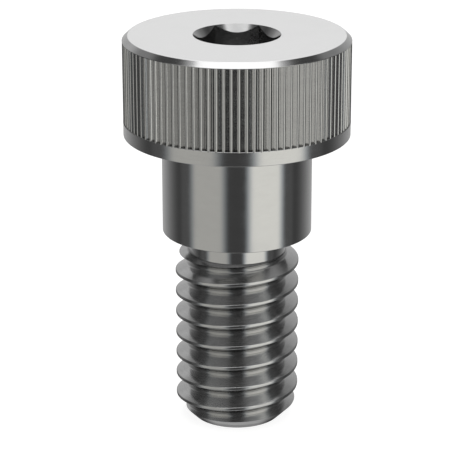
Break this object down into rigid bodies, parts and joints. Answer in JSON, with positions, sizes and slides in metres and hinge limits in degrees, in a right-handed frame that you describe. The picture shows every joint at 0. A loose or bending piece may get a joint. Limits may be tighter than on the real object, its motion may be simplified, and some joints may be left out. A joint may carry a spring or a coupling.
{
  "type": "shoulder bolt",
  "caption": "Socket head shoulder bolt with a straight-knurled cylindrical head, a plain bearing shoulder, a relief neck and a coarse right-hand thread.",
  "frame": {"origin": "middle of the flat tip of the thread, on the bolt's axis", "axes": "+Z along the axis from the tip to the head, +X through two corners of the hexagon socket"},
  "size_m": [0.0142, 0.0142, 0.0254],
  "materials": {
    "stainless_steel": "turned stainless steel with fine lathe lines, bright on the shoulder and the top of the head"
  },
  "bodies": {
    "root": {"shoulder_bolt": "stainless_steel"}
  },
  "joints": []
}
